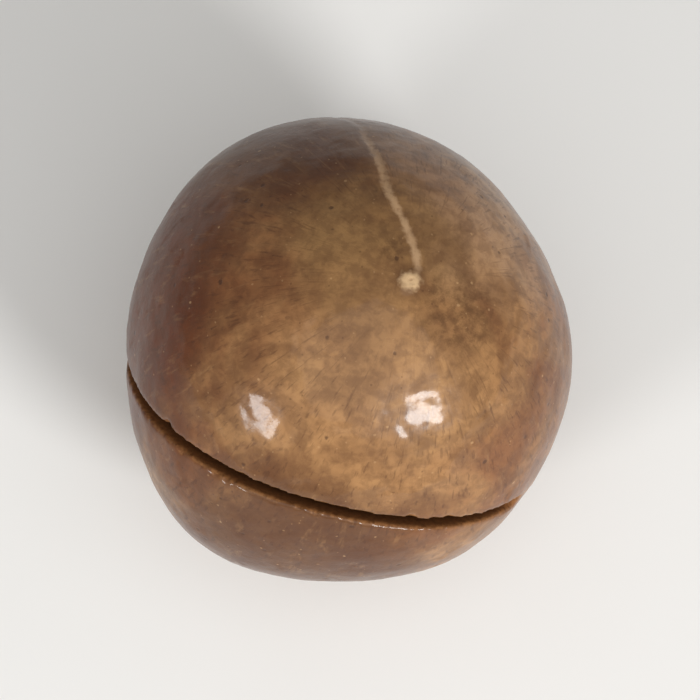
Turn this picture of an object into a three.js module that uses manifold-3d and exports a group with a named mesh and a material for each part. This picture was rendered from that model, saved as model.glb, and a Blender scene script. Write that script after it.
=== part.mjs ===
// Macadamia nut in its shell, with the slit that is sawn into it for an opening key.
// Millimetres, +Z up. The origin is on the small flat that the nut rests on, below its middle.
import * as THREE from 'three';
import { mergeVertices } from 'three/addons/utils/BufferGeometryUtils.js';
import Module from 'manifold-3d';

const wasm = await Module();
wasm.setup();

// The shell: a ball a little flattened from pole to pole.
const GIRTH = 27.6;
const POLE_TO_POLE = 27.2;
const MERIDIANS = 64;
const RINGS = 46;
const POLE_CROWDING = 0.09;

// The nut rests on a small flat worn into its lowest side, beside the hilum.
const REST_WEAR = 0.45;
const CENTRE = new THREE.Vector3(0, 0, POLE_TO_POLE / 2 - REST_WEAR);

// The nut's own axis leans to the right. The micropyle is at its upper end, and the hilum,
// the broad scar where the stalk was, is at its lower end.
const AXIS = new THREE.Vector3(0.264, 0.052, 0.963).normalize();

// The shell isn't a true ball: each push raises or sinks it around one spot.
const PUSHES = {
  micropyleNub: { toward: AXIS, rise: 0.22, reach: 1.7 },
  hilumFlat: { toward: AXIS.clone().negate(), rise: -0.35, reach: 6 },
  lowLeftSwell: { toward: new THREE.Vector3(-0.6, -0.77, -0.2), rise: 1.3, reach: 13 },
  lowRightSwell: { toward: new THREE.Vector3(0.42, -0.87, -0.2), rise: 0.55, reach: 12 },
  backSwell: { toward: new THREE.Vector3(-0.2, 0.93, 0.3), rise: 0.65, reach: 13 },
  leftShoulder: { toward: new THREE.Vector3(-0.65, 0.7, 0.25), rise: 0.4, reach: 10 },
  rightCheek: { toward: new THREE.Vector3(0.88, 0.45, 0.15), rise: -0.45, reach: 10 },
  frontHollow: { toward: new THREE.Vector3(0.1, -0.7, 0.7), rise: -0.15, reach: 8 },
};

// The slit: a narrow saw cut in one tilted plane, through the thickness of the shell.
const SLIT_NORMAL = new THREE.Vector3(0.271, 0.688, 0.673).normalize();
const SLIT_OFFSET = 3.8;
const SLIT_WIDTH = 0.8;
const SLIT_DEPTH = 2.3;
const SLIT_FROM = THREE.MathUtils.degToRad(-106);
const SLIT_TO = THREE.MathUtils.degToRad(48);
const SAW_RADIUS = 25;
const CUT_OVERSHOOT = 1.2;
const SLIT_STEPS_PER_ARC = 16;

// Vertices nearer than this are one vertex.
const MERGE_DISTANCE = 1e-4;

// A closed geometry with its shared vertices merged, as a solid that can be cut.
function solidFrom(geometry) {
  geometry.deleteAttribute('normal');
  geometry.deleteAttribute('uv');
  const merged = mergeVertices(geometry, MERGE_DISTANCE);
  return new wasm.Manifold(new wasm.Mesh({
    numProp: 3,
    vertProperties: merged.attributes.position.array,
    triVerts: new Uint32Array(merged.index.array),
  }));
}

// A point on the plain ball, in a direction seen from its centre.
function ballPoint(direction) {
  const alongAxis = direction.dot(AXIS);
  return direction.clone()
    .addScaledVector(AXIS, -alongAxis)
    .multiplyScalar(GIRTH / 2)
    .addScaledVector(AXIS, alongAxis * POLE_TO_POLE / 2);
}

// The shell's outside: a ball with its poles on the nut's axis, shaped by the pushes.
function shellGeometry() {
  const geometry = new THREE.SphereGeometry(1, MERIDIANS, RINGS);
  const toAxis = new THREE.Quaternion().setFromUnitVectors(new THREE.Vector3(0, 1, 0), AXIS);
  const spots = Object.values(PUSHES).map((push) => {
    const outward = push.toward.clone().normalize();
    return { ...push, outward, centre: ballPoint(outward) };
  });
  const position = geometry.attributes.position;
  const direction = new THREE.Vector3();
  for (let i = 0; i < position.count; i += 1) {
    direction.fromBufferAttribute(position, i);
    // Rings crowd towards both poles, where the small marks are.
    const ring = Math.acos(THREE.MathUtils.clamp(direction.y, -1, 1));
    const meridian = Math.atan2(direction.z, direction.x);
    const polar = ring - POLE_CROWDING * Math.PI * Math.sin(2 * ring);
    direction.set(
      Math.sin(polar) * Math.cos(meridian),
      Math.cos(polar),
      Math.sin(polar) * Math.sin(meridian),
    ).applyQuaternion(toAxis);
    const start = ballPoint(direction);
    const point = start.clone();
    for (const spot of spots) {
      const nearness = Math.max(0, 1 - start.distanceTo(spot.centre) / spot.reach);
      const falloff = nearness * nearness * (3 - 2 * nearness);
      point.addScaledVector(spot.outward, spot.rise * falloff);
    }
    point.add(CENTRE);
    position.setXYZ(i, point.x, point.y, point.z);
  }
  return geometry;
}

// The space the saw clears: a band along the shell in the slit's plane. Its two ends run out
// along the saw blade's own round edge.
function sawCutGeometry() {
  const shellRadius = Math.sqrt((GIRTH / 2) ** 2 - SLIT_OFFSET ** 2);
  const floorRadius = shellRadius - SLIT_DEPTH;
  const outerRadius = shellRadius + CUT_OVERSHOOT;
  const sawReach = floorRadius + SAW_RADIUS;
  const sawTurn = Math.acos(
    (sawReach ** 2 + SAW_RADIUS ** 2 - outerRadius ** 2) / (2 * sawReach * SAW_RADIUS),
  );
  const sawCentre = (angle) => [sawReach * Math.cos(angle), sawReach * Math.sin(angle)];
  const runOut = Math.acos(
    (sawReach ** 2 + outerRadius ** 2 - SAW_RADIUS ** 2) / (2 * sawReach * outerRadius),
  );
  const band = new THREE.Shape();
  band.absarc(0, 0, floorRadius, SLIT_FROM, SLIT_TO, false);
  band.absarc(...sawCentre(SLIT_TO), SAW_RADIUS, SLIT_TO + Math.PI, SLIT_TO + Math.PI - sawTurn, true);
  band.absarc(0, 0, outerRadius, SLIT_TO + runOut, SLIT_FROM - runOut, true);
  band.absarc(
    ...sawCentre(SLIT_FROM), SAW_RADIUS, SLIT_FROM + Math.PI + sawTurn, SLIT_FROM + Math.PI, true,
  );
  const geometry = new THREE.ExtrudeGeometry(band, {
    depth: SLIT_WIDTH, bevelEnabled: false, curveSegments: SLIT_STEPS_PER_ARC,
  });
  geometry.translate(0, 0, -SLIT_WIDTH / 2);
  // Angles in the slit's plane start at its highest point and grow towards the right.
  const highest = new THREE.Vector3(0, 0, 1);
  highest.addScaledVector(SLIT_NORMAL, -highest.dot(SLIT_NORMAL)).normalize();
  const rightward = new THREE.Vector3().crossVectors(SLIT_NORMAL, highest);
  const place = new THREE.Matrix4().makeBasis(highest, rightward, SLIT_NORMAL);
  place.setPosition(CENTRE.clone().addScaledVector(SLIT_NORMAL, -SLIT_OFFSET));
  return geometry.applyMatrix4(place);
}

// Everything above the surface that the nut stands on.
function aboveRestGeometry() {
  const size = 2 * GIRTH;
  return new THREE.BoxGeometry(size, size, size).translate(0, 0, size / 2);
}

function nutGeometry() {
  const nut = solidFrom(shellGeometry())
    .subtract(solidFrom(sawCutGeometry()))
    .intersect(solidFrom(aboveRestGeometry()));
  const { vertProperties, triVerts } = nut.getMesh();
  const geometry = new THREE.BufferGeometry();
  geometry.setAttribute('position', new THREE.BufferAttribute(vertProperties, 3));
  geometry.setIndex(new THREE.BufferAttribute(triVerts, 1));
  geometry.computeVertexNormals();
  return geometry;
}

const nut = new THREE.Mesh(
  nutGeometry(),
  new THREE.MeshStandardMaterial({ color: 0x8c6543, roughness: 0.42, metalness: 0 }),
);
nut.name = 'macadamia_nut';

const group = new THREE.Group();
group.add(nut);

export default group;
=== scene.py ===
# A macadamia nut in its shell, with the slit that is sawn into it for an opening key.
# Metres, +Z up. The nut stands on a small worn flat, and the origin is on that flat.
import math
import random

import bpy
from mathutils import Matrix, Vector
from mathutils.bvhtree import BVHTree


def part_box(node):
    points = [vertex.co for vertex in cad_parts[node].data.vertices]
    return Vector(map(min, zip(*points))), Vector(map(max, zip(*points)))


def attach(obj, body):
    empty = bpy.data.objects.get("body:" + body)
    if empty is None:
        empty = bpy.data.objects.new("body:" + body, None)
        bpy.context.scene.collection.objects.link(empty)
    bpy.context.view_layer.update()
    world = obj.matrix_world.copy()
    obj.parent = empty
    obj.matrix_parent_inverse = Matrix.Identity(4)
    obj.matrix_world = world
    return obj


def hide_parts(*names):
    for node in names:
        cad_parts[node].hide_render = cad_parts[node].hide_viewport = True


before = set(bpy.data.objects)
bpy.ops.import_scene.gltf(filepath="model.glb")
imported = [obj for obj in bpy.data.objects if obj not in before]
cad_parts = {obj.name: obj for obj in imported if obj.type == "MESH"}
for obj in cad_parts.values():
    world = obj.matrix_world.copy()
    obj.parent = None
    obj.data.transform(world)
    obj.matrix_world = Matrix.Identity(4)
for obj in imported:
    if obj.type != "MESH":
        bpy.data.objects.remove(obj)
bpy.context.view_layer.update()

MM = 0.001
# Two places nearer than this are one place.
SAME_PLACE = 1e-7

# The plain ball that the nut grows from, worked out from the CAD nut's box. Its poles are on
# the nut's own axis, and the swells below raise it a little past the ball on some sides.
LOW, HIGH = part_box("macadamia_nut")
RADIUS_TO_WIDTH = 0.5023
TOP_TO_RADIUS = 0.9863
POLE_RATIO = 0.9855
RADIUS = RADIUS_TO_WIDTH * (HIGH.x - LOW.x)
CENTRE = Vector((0, 0, HIGH.z - TOP_TO_RADIUS * RADIUS))

# The nut's own axis leans to the right, with the micropyle at its upper end and the hilum,
# the scar where the stalk was, at its lower end.
AXIS = Vector((0.264, 0.052, 0.963)).normalized()
BACKWARD = (Vector((0, 1, 0)) - AXIS * AXIS.y).normalized()
SIDEWAYS = BACKWARD.cross(AXIS)
OWN_FRAME = Matrix((SIDEWAYS, BACKWARD, AXIS)).transposed()
HILUM_ANGLE = math.radians(21)
SUTURE_ANGLE = math.radians(98)
# The suture turns aside by the micropyle, by an angle that dies away with the angle from the
# tip. Both are in radians.
HOOK_TURN = 1.1
HOOK_REACH = 0.13

# The shell isn't a true ball. Each swell raises or sinks it around one spot: towards where,
# by how much, and how far the change reaches.
SWELLS = {
    "hilum_flat": (-AXIS, -0.35 * MM, 6 * MM),
    "low_left_swell": (Vector((-0.6, -0.77, -0.2)), 1.3 * MM, 13 * MM),
    "low_right_swell": (Vector((0.42, -0.87, -0.2)), 0.55 * MM, 12 * MM),
    "back_swell": (Vector((-0.2, 0.93, 0.3)), 0.65 * MM, 13 * MM),
    "left_shoulder": (Vector((-0.65, 0.7, 0.25)), 0.4 * MM, 10 * MM),
    "right_cheek": (Vector((0.88, 0.45, 0.15)), -0.45 * MM, 10 * MM),
    "front_hollow": (Vector((0.1, -0.7, 0.7)), -0.15 * MM, 8 * MM),
}

# The sawn slit lies in one tilted plane. Angles in it start at its highest point and grow
# towards the right.
SLIT_NORMAL = Vector((0.271, 0.688, 0.673)).normalized()
SLIT_HIGHEST = (Vector((0, 0, 1)) - SLIT_NORMAL * SLIT_NORMAL.z).normalized()
SLIT_RIGHT = SLIT_NORMAL.cross(SLIT_HIGHEST)
SLIT_FRAME = Matrix((SLIT_HIGHEST, SLIT_RIGHT, SLIT_NORMAL)).transposed()
SLIT_OFFSET_TO_RADIUS = 0.2754
SLIT_OFFSET = SLIT_OFFSET_TO_RADIUS * RADIUS
SLIT_CENTRE = CENTRE - SLIT_NORMAL * SLIT_OFFSET
SLIT_WIDTH = 0.8 * MM
SLIT_DEPTH = 2.3 * MM
SLIT_FROM = math.radians(-106)
SLIT_TO = math.radians(48)
SLIT_RADIUS = math.sqrt(RADIUS ** 2 - SLIT_OFFSET ** 2)
SAW_RADIUS = 25 * MM
# The blade is a hair thinner than the slit it sweeps, so that their walls don't coincide.
BLADE_WIDTH = 0.98 * SLIT_WIDTH
# The swept band reaches this far past the shell.
CUT_OVERSHOOT = 2 * MM
CHIP_SEED = 11

# The shell is meshed again on an even grid. What lies nearer the ground than the rest height
# is made flat, and the relief grows from nothing there to its full height a little further up.
SKIN_GRID = 0.205 * MM
REST_HEIGHT = 0.06 * MM
RELIEF_HEIGHT = 0.8 * MM
# The relief also fades out at the slit, within this part of its depth.
RELIEF_DEPTH = 1 / 12

CAMERA_TILT = math.radians(75)
CAMERA_DISTANCE = 0.3
CAMERA_LENS = 250
FLOOR_SIZE = 3
FLOOR_DROP = 0.02 * MM


def pick(piece):
    """Makes one piece the only selected and the active one."""
    bpy.ops.object.select_all(action="DESELECT")
    piece.select_set(True)
    bpy.context.view_layer.objects.active = piece


def settle(piece):
    """Moves a piece's place, turn and scale into its mesh."""
    pick(piece)
    bpy.ops.object.transform_apply(location=True, rotation=True, scale=True)


def finish_with(piece, kind, **settings):
    """Adds one modifier, sets it and applies it."""
    pick(piece)
    modifier = piece.modifiers.new(kind.lower(), kind)
    for key, value in settings.items():
        setattr(modifier, key, value)
    bpy.ops.object.modifier_apply(modifier=modifier.name)


def choose_vertices(piece, wanted):
    """Selects in edit mode the vertices whose place is wanted."""
    pick(piece)
    bpy.ops.object.mode_set(mode="EDIT")
    bpy.ops.mesh.select_mode(type="VERT")
    bpy.ops.mesh.select_all(action="DESELECT")
    bpy.ops.object.mode_set(mode="OBJECT")
    for vertex in piece.data.vertices:
        vertex.select = wanted(vertex.co)
    bpy.ops.object.mode_set(mode="EDIT")


def soft_step(value, low, high):
    """0 below low, 1 above high, with a soft step between."""
    part = max(0.0, min(1.0, (value - low) / (high - low)))
    return part * part * (3 - 2 * part)


def soft_bump(distance, width):
    """1 at distance 0, falling softly to 0 at the given width."""
    return 1 - soft_step(abs(distance), 0, width)


# ---------------------------------------------------------------- the nut's form

def ball_point(direction):
    """The place on the plain ball in one direction from its centre."""
    own = OWN_FRAME.transposed() @ direction.normalized()
    return CENTRE + OWN_FRAME @ Vector((own.x, own.y, own.z * POLE_RATIO)) * RADIUS


def swell(nut, toward, rise, reach):
    """Raises or sinks the shell softly around one spot."""
    spot = ball_point(toward)
    nearest = min(nut.data.vertices, key=lambda vertex: (vertex.co - spot).length).co.copy()
    choose_vertices(nut, lambda place: (place - nearest).length < SAME_PLACE)
    bpy.ops.transform.translate(
        value=toward.normalized() * rise,
        use_proportional_edit=True,
        proportional_edit_falloff="SMOOTH",
        proportional_size=reach,
    )
    bpy.ops.object.mode_set(mode="OBJECT")


def grow_ball():
    """The whole nut before it is sawn, lopsided as a grown thing is."""
    bpy.ops.mesh.primitive_uv_sphere_add(
        segments=160, ring_count=120, radius=RADIUS, location=CENTRE,
        rotation=OWN_FRAME.to_euler(),
    )
    nut = bpy.context.object
    nut.name = "nut_shell"
    nut.scale = (1, 1, POLE_RATIO)
    settle(nut)
    for toward, rise, reach in SWELLS.values():
        swell(nut, toward, rise, reach)
    return nut


def wear_flat(nut):
    """Cuts the small flat that the nut stands on."""
    choose_vertices(nut, lambda place: True)
    bpy.ops.mesh.bisect(
        plane_co=(0, 0, 0), plane_no=(0, 0, 1), use_fill=True, clear_inner=True,
        threshold=SAME_PLACE,
    )
    bpy.ops.object.mode_set(mode="OBJECT")


# ---------------------------------------------------------------- the sawn slit

def slit_point(angle, radius, across=0.0):
    """A place in the slit's plane, or a little across it."""
    arm = SLIT_HIGHEST * math.cos(angle) + SLIT_RIGHT * math.sin(angle)
    return SLIT_CENTRE + arm * radius + SLIT_NORMAL * across


def saw_sweep():
    """The band that the saw's edge clears while the nut is turned against it."""
    inner = SLIT_RADIUS - SLIT_DEPTH
    outer = SLIT_RADIUS + CUT_OVERSHOOT
    bpy.ops.mesh.primitive_plane_add(size=1)
    band = bpy.context.object
    band.rotation_euler = (math.pi / 2, 0, 0)
    band.scale = (outer - inner, SLIT_WIDTH, 1)
    band.location = ((outer + inner) / 2, 0, 0)
    settle(band)
    band.rotation_euler = (0, 0, SLIT_FROM)
    settle(band)
    bpy.ops.object.mode_set(mode="EDIT")
    bpy.ops.mesh.select_all(action="SELECT")
    # The spin operator turns the other way round its axis.
    bpy.ops.mesh.spin(steps=72, angle=SLIT_FROM - SLIT_TO, center=(0, 0, 0), axis=(0, 0, 1))
    bpy.ops.mesh.select_all(action="SELECT")
    bpy.ops.mesh.normals_make_consistent(inside=False)
    bpy.ops.object.mode_set(mode="OBJECT")
    band.matrix_world = Matrix.Translation(SLIT_CENTRE) @ SLIT_FRAME.to_4x4()
    settle(band)
    return band


def saw_blade(angle):
    """The saw blade where it enters or leaves the shell."""
    bpy.ops.mesh.primitive_cylinder_add(
        vertices=360, radius=SAW_RADIUS, depth=BLADE_WIDTH,
        location=slit_point(angle, SLIT_RADIUS - SLIT_DEPTH + SAW_RADIUS),
        rotation=SLIT_FRAME.to_euler(),
    )
    blade = bpy.context.object
    settle(blade)
    return blade


def lip_chips(uncut):
    """Small scoops, joined in one mesh, where the saw chipped the slit's two lips."""
    chance = random.Random(CHIP_SEED)
    skin = BVHTree.FromObject(uncut, bpy.context.evaluated_depsgraph_get())
    chips = []
    angle = SLIT_FROM
    while angle < SLIT_TO:
        side = chance.choice((-1, 1))
        size = chance.uniform(0.2, 0.42) * MM
        place, outward, _, _ = skin.find_nearest(
            slit_point(angle, SLIT_RADIUS, side * 0.5 * SLIT_WIDTH))
        place += outward * size * chance.uniform(0.4, 0.7)
        bpy.ops.mesh.primitive_ico_sphere_add(subdivisions=2, radius=size, location=place)
        chip = bpy.context.object
        chip.scale = (chance.uniform(0.8, 1.6), chance.uniform(0.8, 1.6), 1)
        chip.rotation_euler = (0, 0, chance.uniform(0, math.pi))
        settle(chip)
        chips.append(chip)
        angle += math.radians(chance.uniform(2.5, 10))
    pick(chips[0])
    for chip in chips:
        chip.select_set(True)
    bpy.ops.object.join()
    return chips[0]


def cut_away(nut, cutter):
    """Takes the cutter's space out of the nut and removes the cutter."""
    finish_with(
        nut, "BOOLEAN", object=cutter, operation="DIFFERENCE", solver="EXACT", use_self=True,
    )
    bpy.data.objects.remove(cutter)


def saw_slit(nut, uncut):
    """Saws the slit, with its ends running out along the blade's round edge."""
    cut_away(nut, saw_sweep())
    cut_away(nut, saw_blade(SLIT_FROM))
    cut_away(nut, saw_blade(SLIT_TO))
    cut_away(nut, lip_chips(uncut))


def even_skin(nut):
    """One fine even grid over the whole nut, level on the rest flat."""
    finish_with(nut, "REMESH", mode="VOXEL", voxel_size=SKIN_GRID, adaptivity=0)
    finish_with(nut, "SMOOTH", factor=0.5, iterations=3)
    choose_vertices(nut, lambda place: place.z < REST_HEIGHT)
    bpy.ops.transform.resize(value=(1, 1, 0), center_override=(0, 0, 0))
    bpy.ops.object.mode_set(mode="OBJECT")


# ---------------------------------------------------------------- marks that grew on it

def store(nut, name, values):
    """Keeps one number for each vertex, for the material to read."""
    kept = nut.data.attributes.new(name, "FLOAT", "POINT")
    kept.data.foreach_set("value", values)
    return values


def slit_depth(nut, uncut):
    """How deep in the slit each place is, from 0 on the skin to 1 at its floor."""
    skin = BVHTree.FromObject(uncut, bpy.context.evaluated_depsgraph_get())
    depths = []
    for vertex in nut.data.vertices:
        across = abs((vertex.co - SLIT_CENTRE).dot(SLIT_NORMAL))
        depth = 0.0
        if across < 1.1 * SLIT_WIDTH:
            depth = skin.find_nearest(vertex.co)[3] / SLIT_DEPTH
        depths.append(min(1.0, depth))
    return store(nut, "slit_depth", depths)


def polar_and_around(place):
    """The angle from the micropyle, and the angle around the nut's own axis."""
    own = OWN_FRAME.transposed() @ (place - CENTRE)
    return math.acos(max(-1, min(1, own.z / own.length))), math.atan2(own.y, own.x)


def hilum_reach(nut):
    """0 at the hilum's middle and 1 at its uneven edge."""
    reaches = []
    for vertex in nut.data.vertices:
        polar, around = polar_and_around(vertex.co)
        edge = HILUM_ANGLE * (1 + 0.08 * math.sin(3 * around + 1) + 0.02 * math.sin(7 * around))
        reaches.append((math.pi - polar) / edge)
    return store(nut, "hilum_reach", reaches)


def micropyle_gap(nut):
    """The way along the skin to the micropyle's middle, in millimetres."""
    return [polar_and_around(vertex.co)[0] * RADIUS / MM for vertex in nut.data.vertices]


def suture_gap(nut):
    """The way along the skin to the suture, in millimetres.

    It runs from pole to pole, wavering a little, and hooks to the right by the micropyle.
    """
    gaps = []
    for vertex in nut.data.vertices:
        polar, around = polar_and_around(vertex.co)
        waver = 0.03 * math.sin(5 * polar) + 0.012 * math.sin(17 * polar)
        hook = HOOK_TURN * math.exp(-polar / HOOK_REACH)
        off_line = around - SUTURE_ANGLE - waver + hook
        aside = math.sin(polar) * math.sin(off_line)
        ahead = math.cos(off_line) > 0
        gaps.append(abs(aside) * RADIUS / MM if ahead else RADIUS / MM)
    return store(nut, "suture_gap", gaps)


# ---------------------------------------------------------------- the skin's relief

def weigh(nut, name, weights):
    """Makes a vertex group from one weight for each vertex."""
    group = nut.vertex_groups.new(name=name)
    for index, weight in enumerate(weights):
        if weight > 0.001:
            group.add([index], min(1.0, weight), "REPLACE")
    return group.name


def relief(nut, group, size, height, **settings):
    """Raises and sinks the skin by clouds of one size, where the group allows."""
    texture = bpy.data.textures.new(group + "_clouds", "CLOUDS")
    texture.noise_scale = size
    for key, value in settings.items():
        setattr(texture, key, value)
    finish_with(
        nut, "DISPLACE", texture=texture, texture_coords="LOCAL", direction="NORMAL",
        strength=height, mid_level=0.5, vertex_group=group,
    )


def raise_skin(nut, group, height):
    """Raises the skin where the group allows, or sinks it by a height below zero."""
    finish_with(
        nut, "DISPLACE", direction="NORMAL", strength=height, mid_level=0, vertex_group=group,
    )


def uneven_skin(nut, free):
    """The slight waviness and fine grain of the whole skin."""
    skin = weigh(nut, "skin", free)
    relief(nut, skin, 5 * MM, 0.2 * MM, noise_depth=1)
    relief(nut, skin, 1.9 * MM, 0.1 * MM, noise_depth=2)
    relief(nut, skin, 0.6 * MM, 0.026 * MM, noise_depth=1)


def rough_hilum(nut, free, reaches):
    """The torn surface of the hilum and the low rim around it."""
    scar = weigh(nut, "scar", [
        part * (1 - soft_step(reach, 0.85, 1.05)) for part, reach in zip(free, reaches)
    ])
    relief(nut, scar, 0.7 * MM, 0.17 * MM, noise_depth=3, noise_type="HARD_NOISE")
    rim = weigh(nut, "rim", [
        part * soft_bump(reach - 1.03, 0.14) for part, reach in zip(free, reaches)
    ])
    raise_skin(nut, rim, 0.1 * MM)


def shape_skin(nut, uncut):
    """The small relief of the skin: unevenness, hilum, suture and micropyle."""
    depths = slit_depth(nut, uncut)
    reaches = hilum_reach(nut)
    sutures = suture_gap(nut)
    tips = micropyle_gap(nut)
    heights = [vertex.co.z for vertex in nut.data.vertices]
    # 1 where the skin is free to change, falling to 0 in the slit and on the rest flat.
    free = [
        max(0.0, 1 - depth / RELIEF_DEPTH) * min(1.0, height / RELIEF_HEIGHT)
        for depth, height in zip(depths, heights)
    ]
    uneven_skin(nut, free)
    rough_hilum(nut, free, reaches)
    seam = weigh(nut, "seam", [
        part * soft_bump(gap, 0.35) * soft_step(tip, 0.6, 1.6)
        for part, gap, tip in zip(free, sutures, tips)
    ])
    raise_skin(nut, seam, -0.05 * MM)
    raise_skin(nut, weigh(nut, "nub", [soft_bump(tip, 1.1) for tip in tips]), 0.16 * MM)
    raise_skin(nut, weigh(nut, "pit", [soft_bump(tip, 0.35) for tip in tips]), -0.15 * MM)
    nut.vertex_groups.clear()


def fit_to_cad(nut):
    """Brings the finished nut to exactly the CAD nut's box."""
    places = [vertex.co for vertex in nut.data.vertices]
    low = Vector([min(place[i] for place in places) for i in range(3)])
    high = Vector([max(place[i] for place in places) for i in range(3)])
    choose_vertices(nut, lambda place: True)
    size = [(HIGH[i] - LOW[i]) / (high[i] - low[i]) for i in range(3)]
    bpy.ops.transform.resize(value=size, center_override=(0, 0, 0))
    shift = [LOW[i] - low[i] * size[i] for i in range(3)]
    bpy.ops.transform.translate(value=shift)
    bpy.ops.object.mode_set(mode="OBJECT")


def make_nut():
    """The whole nut, from the plain ball to its finished skin."""
    nut = grow_ball()
    wear_flat(nut)
    uncut = nut.copy()
    uncut.data = nut.data.copy()
    bpy.context.scene.collection.objects.link(uncut)
    saw_slit(nut, uncut)
    even_skin(nut)
    shape_skin(nut, uncut)
    bpy.data.objects.remove(uncut)
    fit_to_cad(nut)
    pick(nut)
    bpy.ops.object.shade_smooth()
    return nut


# ---------------------------------------------------------------- shader maths

def tint(red, green, blue):
    """A colour from its everyday 0 to 255 values."""
    def linear(value):
        value /= 255
        return value / 12.92 if value <= 0.04045 else ((value + 0.055) / 1.055) ** 2.4
    return (linear(red), linear(green), linear(blue), 1)


class Field:
    """A number, place or colour that changes over the surface: one socket with Python's signs."""

    def __init__(self, tree, socket):
        self.tree = tree
        self.socket = socket

    def node(self, kind, settings=None, sockets=None, out=0):
        """Any node: its settings first, then the values or links of its sockets."""
        made = self.tree.nodes.new(kind)
        for key, value in (settings or {}).items():
            setattr(made, key, value)
        for key, value in (sockets or {}).items():
            if isinstance(value, Field):
                self.tree.links.new(value.socket, made.inputs[key])
            else:
                made.inputs[key].default_value = value
        return Field(self.tree, made.outputs[out])

    def maths(self, operation, first, second=0.0):
        """One Math node on two numbers."""
        return self.node("ShaderNodeMath", {"operation": operation}, {0: first, 1: second})

    def __add__(self, other):
        return self.maths("ADD", self, other)

    def __sub__(self, other):
        return self.maths("SUBTRACT", self, other)

    def __rsub__(self, other):
        return self.maths("SUBTRACT", other, self)

    def __mul__(self, other):
        return self.maths("MULTIPLY", self, other)

    def __truediv__(self, other):
        return self.maths("DIVIDE", self, other)

    __radd__ = __add__
    __rmul__ = __mul__

    def step(self, low, high):
        """0 at low, 1 at high, with a soft step between."""
        return self.node(
            "ShaderNodeMapRange", {"interpolation_type": "SMOOTHSTEP"},
            {"Value": self, "From Min": low, "From Max": high},
        )

    def colour(self, below, above):
        """One colour where this is 0 and the other where it is 1."""
        return self.node(
            "ShaderNodeMix", {"data_type": "RGBA"}, {0: self, 6: below, 7: above}, out=2,
        )

    def vector(self, operation, other=(0, 0, 0), factor=1.0, out=0):
        """This place changed by another place or a factor."""
        return self.node(
            "ShaderNodeVectorMath", {"operation": operation},
            {0: self, 1: other, 3: factor}, out,
        )

    def along(self, direction):
        """How far this place lies along a direction."""
        return self.vector("DOT_PRODUCT", tuple(direction), out=1)

    def around(self, direction, inner, outer):
        """1 within the inner angle of a direction, 0 past the outer one."""
        reach = self.along(Vector(direction).normalized())
        return reach.step(math.cos(math.radians(outer)), math.cos(math.radians(inner)))

    def join(self, second, third):
        """A place from three numbers."""
        return self.node("ShaderNodeCombineXYZ", {}, {0: self, 1: second, 2: third})

    def stored(self, name):
        """A number that the mesh keeps for each vertex."""
        return self.node("ShaderNodeAttribute", {"attribute_name": name}, {}, out=2)

    def noise(self, size, detail=2.0, roughness=0.5, warp=0.0, out=0):
        """Cloudy noise at this place, about 0 to 1, with lumps of one size."""
        return self.node(
            "ShaderNodeTexNoise", {},
            {"Vector": self, "Scale": 1 / size, "Detail": detail, "Roughness": roughness,
             "Distortion": warp}, out,
        )

    def spots(self, size, radius, share):
        """Round spots: 1 inside a spot. Only a share of the cells holds one."""
        cells = {"Vector": self, "Scale": 1 / size}
        reach = self.node("ShaderNodeTexVoronoi", {}, cells)
        chosen = self.node("ShaderNodeTexVoronoi", {}, cells, out=1)
        chance = chosen.node("ShaderNodeSeparateColor", {}, {0: chosen})
        return reach.step(radius / size, 0.5 * radius / size) * chance.step(share, share - 0.02)


def new_material(name, middle):
    """An empty material: itself, its shader, and places in millimetres from a middle point."""
    material = bpy.data.materials.new(name)
    material.use_nodes = True
    tree = material.node_tree
    metres = Field(tree, tree.nodes.new("ShaderNodeTexCoord").outputs["Object"])
    place = metres.vector("SUBTRACT", tuple(middle)).vector("SCALE", factor=1 / MM)
    return material, tree.nodes["Principled BSDF"], place


# ---------------------------------------------------------------- the shell's looks

TAN = tint(150, 109, 69)
BROWN = tint(128, 84, 51)
# The red flank's own red-brown, darkened with painted shade.
SHADED_RED_BROWN = tint(92, 45, 20)
# Painted shade for the crown.
CROWN_SHADE = tint(80, 47, 29)
# A painted sheen: a pale pinkish haze.
PAINTED_SHEEN = tint(178, 144, 112)
OLIVE = tint(142, 107, 66)
GOLDEN = tint(168, 127, 83)
SMOKY = tint(112, 78, 48)
# Painted shade for the lower front.
LOWER_FRONT_SHADE = tint(80, 48, 28)
CLOUD_BROWN = tint(80, 47, 27)
DARK_FIBRE = tint(66, 38, 24)
PALE_FIBRE = tint(170, 130, 86)
MOTTLE_BROWN = tint(76, 46, 29)
FLECK_BROWN = tint(78, 52, 30)
PORE = tint(58, 34, 23)
FINE_PORE = tint(66, 39, 25)
GRAIN = tint(190, 152, 108)
FINE_GRAIN = tint(182, 144, 102)
SUTURE = tint(192, 156, 118)
MICROPYLE = tint(208, 174, 132)
MICROPYLE_RING = tint(76, 45, 27)
MICROPYLE_PIT = tint(134, 96, 62)
HILUM_RIM = tint(66, 39, 25)
HILUM_BROWN = tint(112, 76, 48)
HILUM_PALE = tint(186, 150, 108)
HILUM_CREVICE = tint(72, 45, 29)
HILUM_MIDDLE = tint(124, 88, 58)
WORN = tint(164, 124, 86)
RAW_DARK = tint(84, 50, 28)
RAW_PALE = tint(146, 98, 58)
# Painted shade at the slit's floor.
SLIT_FLOOR_SHADE = tint(48, 27, 15)
SLIT_LIP = tint(152, 106, 64)


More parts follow.
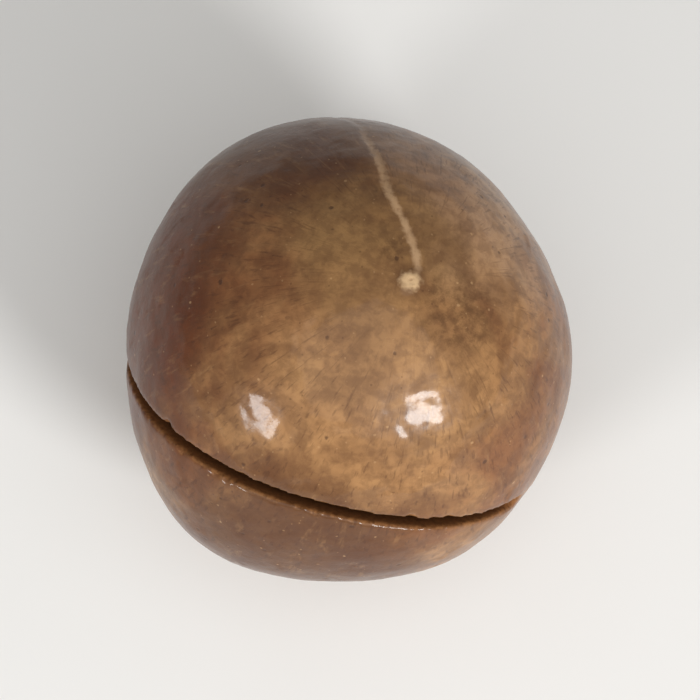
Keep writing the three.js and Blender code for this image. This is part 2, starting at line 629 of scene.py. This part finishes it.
def brown_patches(place, out):
    """The shell's broad browns: a red flank, its own red-brown darkened with painted shade, a
    crown darkened with painted shade, painted shade on the lower front, a pale painted sheen on
    the upper right, and paler patches between them.

    Each patch lies around one direction from the nut's middle, with a cloudy edge.
    """
    clouds = place.noise(6.5, 3, 0.55, 0.6)
    small_clouds = place.noise(2.4, 3, 0.6, 0.4)
    bend = place.noise(5.0, 3, 0.6, out=1).vector("SUBTRACT", (0.5, 0.5, 0.5))
    aside = out.vector("ADD", bend.vector("SCALE", factor=0.5)).vector("NORMALIZE")

    # The red flank: the shell's own red-brown, darkened there with painted shade.
    red = aside.around((-0.94, 0.15, 0.3), 20, 51) * 0.9 + clouds.step(0.54, 0.7) * 0.3
    # Painted shade that darkens the crown.
    crown = aside.around((-0.25, 0.86, 0.45), 12, 42) * 0.75
    # A pale painted sheen on the upper right.
    sheen_patch = aside.around((0.62, 0.5, 0.6), 10, 38) * 0.5
    olive = aside.around((0.1, 0.24, 0.96), 8, 30) * 0.75
    golden = aside.around((0.05, -0.5, 0.86), 14, 42) * 0.7
    smoky = aside.around((0.05, -0.1, 0.99), 3, 16) * 0.4
    # Painted shade that darkens the lower front.
    under = aside.around((-0.2, -0.95, 0.15), 18, 42) * 0.85

    base = clouds.step(0.4, 0.62).colour(TAN, BROWN)
    base = red.step(0, 1).colour(base, SHADED_RED_BROWN)
    base = crown.colour(base, CROWN_SHADE)
    base = sheen_patch.colour(base, PAINTED_SHEEN)
    base = olive.colour(base, OLIVE)
    base = golden.colour(base, GOLDEN)
    base = smoky.colour(base, SMOKY)
    base = under.colour(base, LOWER_FRONT_SHADE)
    return (small_clouds.step(0.6, 0.38) * 0.35).colour(base, CLOUD_BROWN)


def shell_flecks(base, out, tip, hilum):
    """Short dark and pale fibres along the meridians, thickest near the hilum."""
    up = out.along(AXIS)
    # A hair over 1, so that the girth is never 0 at the poles.
    girth = up.maths("SQRT", 1.0001 - up * up)
    fibre = (out.along(SIDEWAYS) / girth).join(out.along(BACKWARD) / girth, up * 0.4)
    fine = fibre.noise(0.024, 2, 0.6, 0.2)
    coarse = fibre.noise(0.05, 3, 0.65, 0.3)
    clear = tip.step(2, 9)
    near_hilum = hilum.step(3.4, 1.1)
    halo = hilum.step(1.9, 1.0)
    dark = fine.step(0.44, 0.3) * 0.4 * clear
    pale = (coarse + halo * 0.1).step(0.55, 0.75) * (0.22 + near_hilum * 0.55) * clear
    base = dark.colour(base, DARK_FIBRE)
    base = pale.colour(base, PALE_FIBRE)
    return base, fine, coarse


def shell_specks(base, place, out):
    """Small mottling, dark pores, pale grains and a few dark flecks beside the micropyle."""
    mottle = place.noise(0.8, 4, 0.65, 0.3)
    uneven = place.noise(2.6, 2, 0.5)
    bent = place.vector("ADD", place.noise(0.5, 2, out=1).vector("SCALE", factor=0.22))
    # Each kind of spot has its own shift, so that no two fall on the same places.
    pores = bent.spots(1.3, 0.2, 0.4) * uneven.step(0.35, 0.6)
    fine_pores = bent.vector("ADD", (7.1, 4.4, 2.6)).spots(0.6, 0.09, 0.35)
    grains = bent.vector("ADD", (3.7, 1.9, 5.3)).spots(0.85, 0.12, 0.3) * uneven.step(0.62, 0.4)
    fine_grains = bent.vector("ADD", (1.3, 8.9, 6.2)).spots(0.55, 0.08, 0.3)
    lower_right = out.around((0.47, -0.07, 0.88), 3, 15)
    upper_left = out.around((0.19, 0.19, 0.96), 1, 5)
    flecked = (lower_right + upper_left).step(0, 1) * place.noise(0.6, 4, 0.7).step(0.4, 0.66)
    base = (mottle.step(0.62, 0.36) * 0.35).colour(base, MOTTLE_BROWN)
    base = (flecked * 0.5).colour(base, FLECK_BROWN)
    base = (pores * 0.65).colour(base, PORE)
    base = (fine_pores * 0.4).colour(base, FINE_PORE)
    base = (grains * 0.45).colour(base, GRAIN)
    base = (fine_grains * 0.3).colour(base, FINE_GRAIN)
    return base, mottle, pores


def grown_marks(base, place, tip, suture):
    """The pale micropyle in its darker ring, and the suture line that runs up to it."""
    grain = place.noise(0.45, 4, 0.65)
    uneven = place.noise(0.9, 2, 0.5)
    patchy = place.noise(1.6, 3, 0.6).step(0.36, 0.6)
    ragged = suture + grain * 0.55 + uneven * 0.35
    seam = ragged.step(0.86, 0.5) * tip.step(0.5, 1.0) * tip.step(14, 8)
    base = (seam * (0.3 + patchy * 0.3 + grain * 0.4)).colour(base, SUTURE)
    near = tip + grain * 0.8 + uneven * 0.7
    base = (near.step(2.4, 1.3) * 0.5).colour(base, MICROPYLE_RING)
    base = (near.step(1.56, 0.96) * (0.6 + grain * 0.6)).colour(base, MICROPYLE)
    return (near.step(0.85, 0.65) * 0.4).colour(base, MICROPYLE_PIT)


def hilum_scar(base, place, hilum, rays):
    """The rough hilum: pale torn fibres from its middle outwards, in a dark rim."""
    grain = place.noise(0.38, 5, 0.7)
    lumps = place.noise(1.5, 3, 0.6)
    edge = hilum + grain * 0.14 + lumps * 0.12
    rim = edge.step(1.42, 1.2) * edge.step(1.02, 1.14)
    base = (rim * 0.7).colour(base, HILUM_RIM)
    torn = (grain * 0.6 + rays * 0.5 + lumps * 0.3).step(0.5, 0.86)
    scar = torn.colour(HILUM_BROWN, HILUM_PALE)
    scar = (grain.step(0.42, 0.3) * 0.7).colour(scar, HILUM_CREVICE)
    scar = (edge.step(0.45, 0.2) * 0.5).colour(scar, HILUM_MIDDLE)
    return edge.step(1.14, 1.04).colour(base, scar)


def rest_scuff(base, place):
    """The worn flat that the nut stands on, dulled and a little paler."""
    grain = place.noise(0.3, 4, 0.7)
    height = place.along((0, 0, 1)) + CENTRE.z / MM
    worn = (height + grain * 0.1).step(0.2, 0.06)
    return (worn * (0.3 + grain * 0.4)).colour(base, WORN), worn


def sawn_walls(base, place, depth):
    """Raw shell on the slit's walls, with painted shade that darkens it towards the slit's floor,
    and a paler broken lip.
    """
    grain = place.noise(0.3, 3, 0.6)
    raw_and_shade = grain.colour(RAW_DARK, RAW_PALE)
    # Painted shade that darkens the walls towards the slit's floor.
    raw_and_shade = depth.step(0.2, 0.9).colour(raw_and_shade, SLIT_FLOOR_SHADE)
    lip = depth.step(0.005, 0.04) * depth.step(0.2, 0.08)
    base = depth.step(0.02, 0.1).colour(base, raw_and_shade)
    return (lip * grain.step(0.4, 0.6) * 0.5).colour(base, SLIT_LIP)


def shell_material():
    """The hard brown shell: mottled and flecked, with a satin gloss and small scuffs."""
    material, shader, place = new_material("macadamia_shell", CENTRE)
    out = place.vector("NORMALIZE")
    hilum = place.stored("hilum_reach")
    depth = place.stored("slit_depth")
    # Millimetres from the nut's axis near the micropyle, and far more on the lower half.
    from_axis = place.vector("CROSS_PRODUCT", tuple(AXIS)).vector("LENGTH", out=1)
    tip = from_axis + 30 * out.along(AXIS).step(0.3, 0)

    base = brown_patches(place, out)
    base, fibres, rays = shell_flecks(base, out, tip, hilum)
    base, mottle, pores = shell_specks(base, place, out)
    base = grown_marks(base, place, tip, place.stored("suture_gap"))
    base = hilum_scar(base, place, hilum, rays)
    base, worn = rest_scuff(base, place)
    base = sawn_walls(base, place, depth)

    matt = (depth.step(0.02, 0.1) + hilum.step(1.08, 0.96) + worn * 0.7).step(0, 1)
    scuffs = place.noise(2.2, 5, 0.7, 0.8).step(0.55, 0.72)
    grain = place.noise(0.28, 4, 0.6)
    height = grain * 0.35 + mottle * 0.5 + fibres * 0.25 - pores * 0.5
    bump = place.node(
        "ShaderNodeBump", {}, {"Strength": 0.6, "Distance": 0.06 * MM, "Height": height},
    )
    looks = {
        "Base Color": base,
        "Roughness": 0.34 + mottle * 0.1 + scuffs * 0.12 + matt * 0.35,
        "Coat Weight": (0.42 - scuffs * 0.25) * (1 - matt),
        "Normal": bump,
    }
    for name, field in looks.items():
        material.node_tree.links.new(field.socket, shader.inputs[name])
    shader.inputs["Coat Roughness"].default_value = 0.12
    shader.inputs["Specular IOR Level"].default_value = 0.1
    return material


# ---------------------------------------------------------------- the studio

def floor_material():
    """A plain pale matt table top."""
    material, shader, place = new_material("pale_floor", Vector())
    base = place.noise(30, 3, 0.5).colour(tint(226, 225, 222), tint(232, 231, 229))
    material.node_tree.links.new(base.socket, shader.inputs["Base Color"])
    shader.inputs["Roughness"].default_value = 0.7
    return material


def make_floor():
    """The table top, a hair under the rest flat so that the two don't coincide."""
    bpy.ops.mesh.primitive_plane_add(size=FLOOR_SIZE, location=(0, 0, -FLOOR_DROP))
    floor = bpy.context.object
    floor.name = "pale_floor"
    settle(floor)
    floor.data.materials.append(floor_material())


def softbox(name, toward, distance, size, power):
    """A round soft light that looks at the nut's middle."""
    data = bpy.data.lights.new(name, "AREA")
    data.shape = "DISK"
    data.size = size
    data.energy = power
    lamp = bpy.data.objects.new(name, data)
    bpy.context.scene.collection.objects.link(lamp)
    lamp.location = CENTRE + toward.normalized() * distance
    lamp.rotation_euler = toward.to_track_quat("Z", "Y").to_euler()


def make_lights():
    """A key light from the front right, a smaller one from the front left, a broad one above."""
    softbox("key_softbox", Vector((0.562, -0.666, 0.489)), distance=0.8, size=0.25, power=4.9)
    softbox("side_softbox", Vector((-0.659, -0.631, 0.41)), distance=0.8, size=0.2, power=2.2)
    softbox("top_softbox", Vector((0.15, -0.444, 0.885)), distance=0.9, size=1.2, power=3.1)
    world = bpy.data.worlds.new("soft_room")
    world.use_nodes = True
    room = world.node_tree.nodes["Background"].inputs
    room["Color"].default_value = (1, 0.99, 0.97, 1)
    room["Strength"].default_value = 0.35
    bpy.context.scene.world = world


def make_camera():
    """A long lens that looks steeply down on the nut's middle from the front."""
    data = bpy.data.cameras.new("camera")
    data.lens = CAMERA_LENS
    camera = bpy.data.objects.new("camera", data)
    bpy.context.scene.collection.objects.link(camera)
    back = Vector((0, -math.cos(CAMERA_TILT), math.sin(CAMERA_TILT)))
    camera.location = CENTRE + back * CAMERA_DISTANCE
    camera.rotation_euler = back.to_track_quat("Z", "Y").to_euler()
    bpy.context.scene.camera = camera


nut = make_nut()
nut.data.materials.append(shell_material())
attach(nut, "root")
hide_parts("macadamia_nut")
make_floor()
make_lights()
make_camera()
bpy.context.scene.view_settings.view_transform = "Standard"
